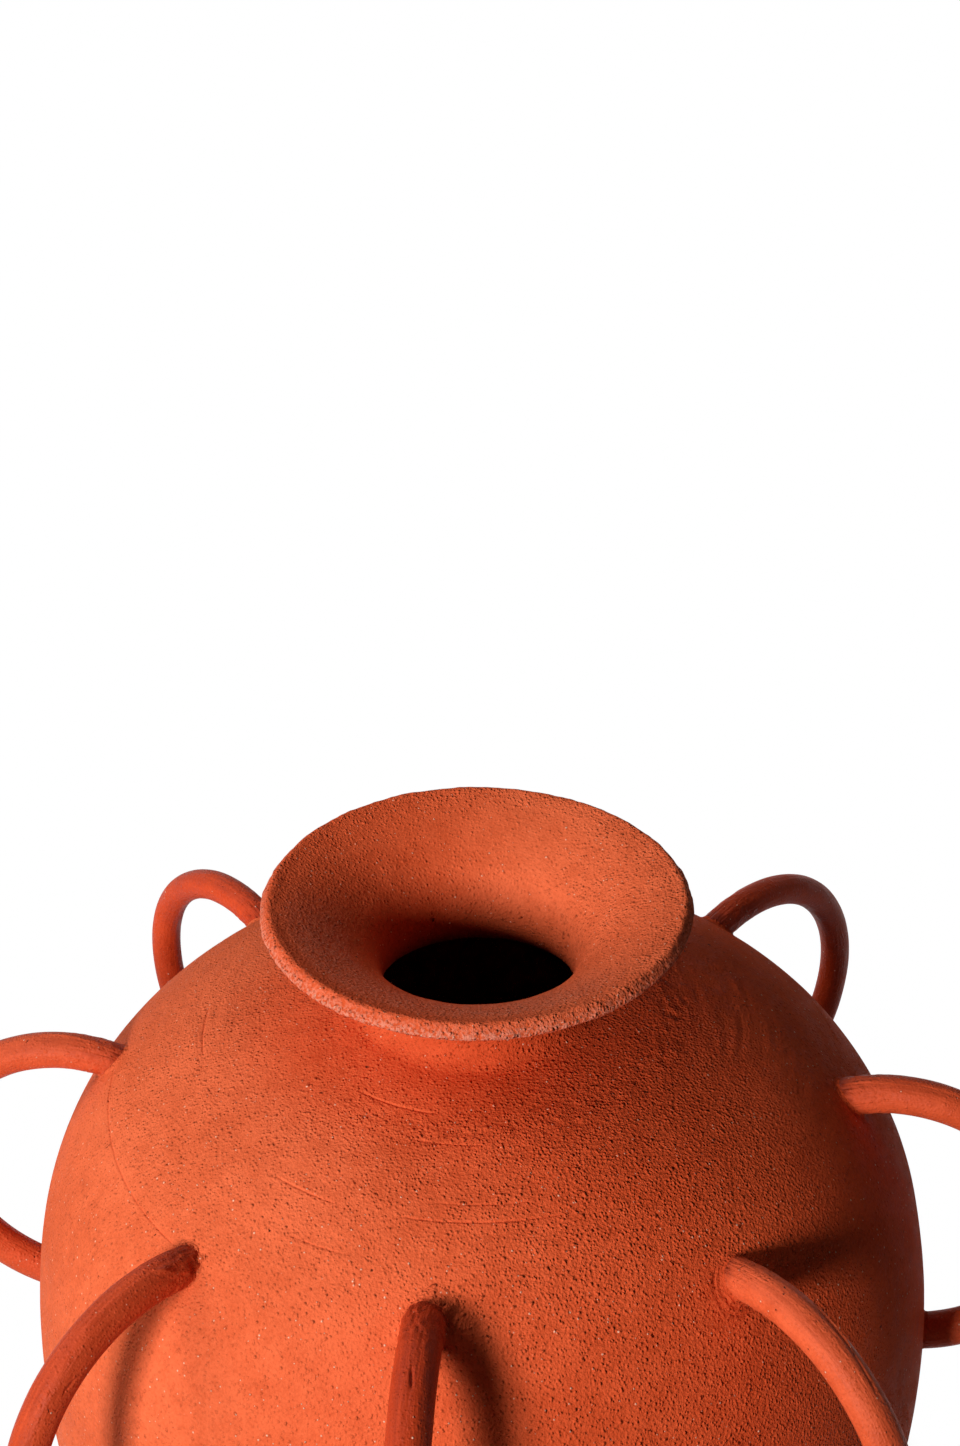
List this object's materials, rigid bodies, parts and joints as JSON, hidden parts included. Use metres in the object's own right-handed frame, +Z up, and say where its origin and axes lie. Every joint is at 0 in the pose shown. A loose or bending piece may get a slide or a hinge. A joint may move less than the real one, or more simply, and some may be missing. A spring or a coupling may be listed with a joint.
{
  "type": "terracotta vase with loop handles",
  "caption": "Round terracotta vase with a narrow throat, a flared rim and a ring of coil loop handles on the shoulder.",
  "frame": {"origin": "middle of the flat foot, on the surface that the vase stands on", "axes": "+Z up along the throwing axis, -Y towards the viewer of the picture"},
  "size_m": [0.4203, 0.4226, 0.3448],
  "materials": {
    "body_clay": "matte unglazed terracotta with fine grog",
    "coil_clay": "matte unglazed terracotta, smoothed by hand",
    "lute_clay": "matte unglazed terracotta, pressed and smeared"
  },
  "bodies": {
    "root": {"lower_bowl": "body_clay", "shoulder_dome": "body_clay", "neck_rim": "body_clay", "handle_front": "coil_clay", "handle_front_right": "coil_clay", "handle_right": "coil_clay", "handle_back_right": "coil_clay", "handle_back": "coil_clay", "handle_back_left": "coil_clay", "handle_left": "coil_clay", "handle_front_left": "coil_clay", "upper_collar_front": "lute_clay", "upper_collar_front_right": "lute_clay", "upper_collar_right": "lute_clay", "upper_collar_back_right": "lute_clay", "upper_collar_back": "lute_clay", "upper_collar_back_left": "lute_clay", "upper_collar_left": "lute_clay", "upper_collar_front_left": "lute_clay", "lower_collar_front": "lute_clay", "lower_collar_front_right": "lute_clay", "lower_collar_right": "lute_clay", "lower_collar_back_right": "lute_clay", "lower_collar_back": "lute_clay", "lower_collar_back_left": "lute_clay", "lower_collar_left": "lute_clay", "lower_collar_front_left": "lute_clay"}
  },
  "joints": []
}
